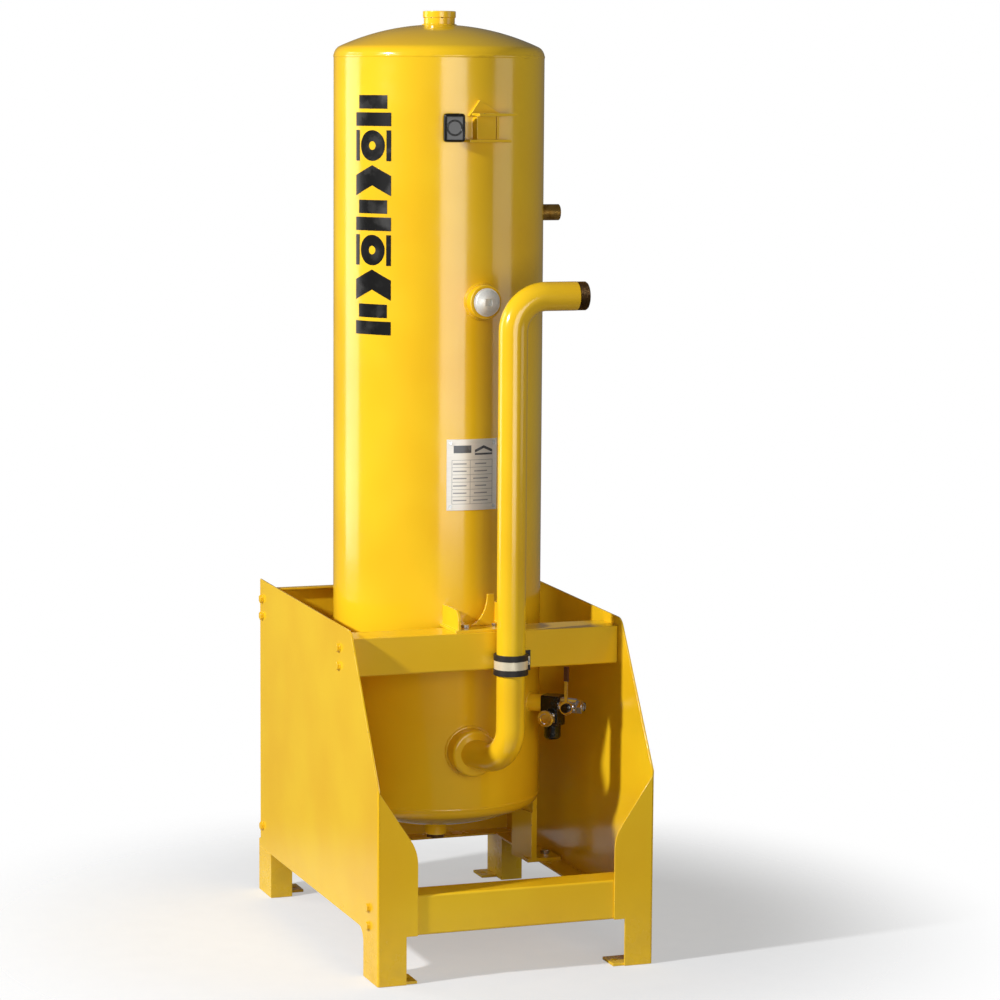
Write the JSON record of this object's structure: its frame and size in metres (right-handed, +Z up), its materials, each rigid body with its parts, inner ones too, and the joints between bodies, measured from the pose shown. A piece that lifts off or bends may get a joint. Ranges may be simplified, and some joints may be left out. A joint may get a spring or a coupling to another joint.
{
  "type": "vertical air receiver tank",
  "caption": "Upright steel air receiver with dished heads, standing in a folded sheet-steel fork-lift frame, with an inlet pipe, inspection plug and lever drain valve.",
  "frame": {"origin": "on the floor, in the middle of the frame's footprint", "axes": "+X across the frame to the open pipe end's side, -Y towards the open front, +Z up along the tank"},
  "size_m": [0.6128, 0.886, 1.97],
  "materials": {
    "painted_steel": "gloss powder coat over steel",
    "painted_bolts": "painted over steel bolts",
    "bare_brass": "machined, slightly tarnished",
    "black_plastic": "moulded, satin",
    "zinc_steel": "bright zinc plate",
    "dark_steel": "bare steel, oiled",
    "chrome_plate": "nickel-chrome plate",
    "rubber": "moulded",
    "plate_aluminium": "printed plate, satin",
    "black_vinyl": "cut film, gloss",
    "ptfe": "moulded",
    "grip_vinyl": "dipped"
  },
  "bodies": {
    "receiver": {"shell_front": "painted_steel", "shell_right": "painted_steel", "shell_back": "painted_steel", "shell_left": "painted_steel", "top_head": "painted_steel", "bottom_head": "painted_steel", "top_socket": "painted_steel", "side_socket": "bare_brass", "gauge_socket": "painted_steel", "gauge_cap": "black_plastic", "inspection_socket": "painted_steel", "inspection_plug": "zinc_steel", "inspection_seal": "rubber", "hanging_bracket": "painted_steel", "data_plate": "plate_aluminium", "plate_studs": "zinc_steel", "marking": "black_vinyl", "inlet_boss": "painted_steel", "pipe_stub": "painted_steel", "lower_elbow": "painted_steel", "pipe_riser": "painted_steel", "upper_elbow": "painted_steel", "pipe_run_out": "painted_steel", "pipe_end_nipple": "dark_steel", "clamp_rubber": "rubber", "clamp_band": "zinc_steel", "clamp_bolt": "zinc_steel", "top_rail": "painted_steel", "bottom_rail": "painted_steel", "left_side_panel": "painted_steel", "right_side_panel": "painted_steel", "rear_panel": "painted_steel", "left_rear_leg": "painted_steel", "right_rear_leg": "painted_steel", "floor_plates": "painted_steel", "left_tank_leg": "painted_steel", "right_tank_leg": "painted_steel", "tank_leg_bolts": "zinc_steel", "tank_stay": "painted_steel", "stay_gusset": "painted_steel", "stay_bolts": "zinc_steel", "left_frame_bolts": "painted_bolts", "right_frame_bolts": "painted_bolts", "drain_socket": "painted_steel", "drain_plug": "dark_steel", "port_socket": "painted_steel", "port_nipple": "zinc_steel", "drain_block": "black_plastic", "block_plug": "chrome_plate", "dirt_bowl": "black_plastic", "valve_body": "chrome_plate", "valve_end_cap": "chrome_plate", "valve_seats": "ptfe", "packing_nut": "chrome_plate"},
    "valve_handle": {"valve_ball": "chrome_plate", "valve_stem": "zinc_steel", "valve_lever": "chrome_plate", "lever_grip": "grip_vinyl", "lever_cap": "black_plastic"}
  },
  "joints": [
    {"name": "drain_valve_turn", "type": "hinge", "parent": "receiver", "child": "valve_handle", "pos_m": [0.22981, -0.14881, 0.497], "axis": [0.7071, 0.7071, 0], "range_deg": [0, 90]}
  ]
}
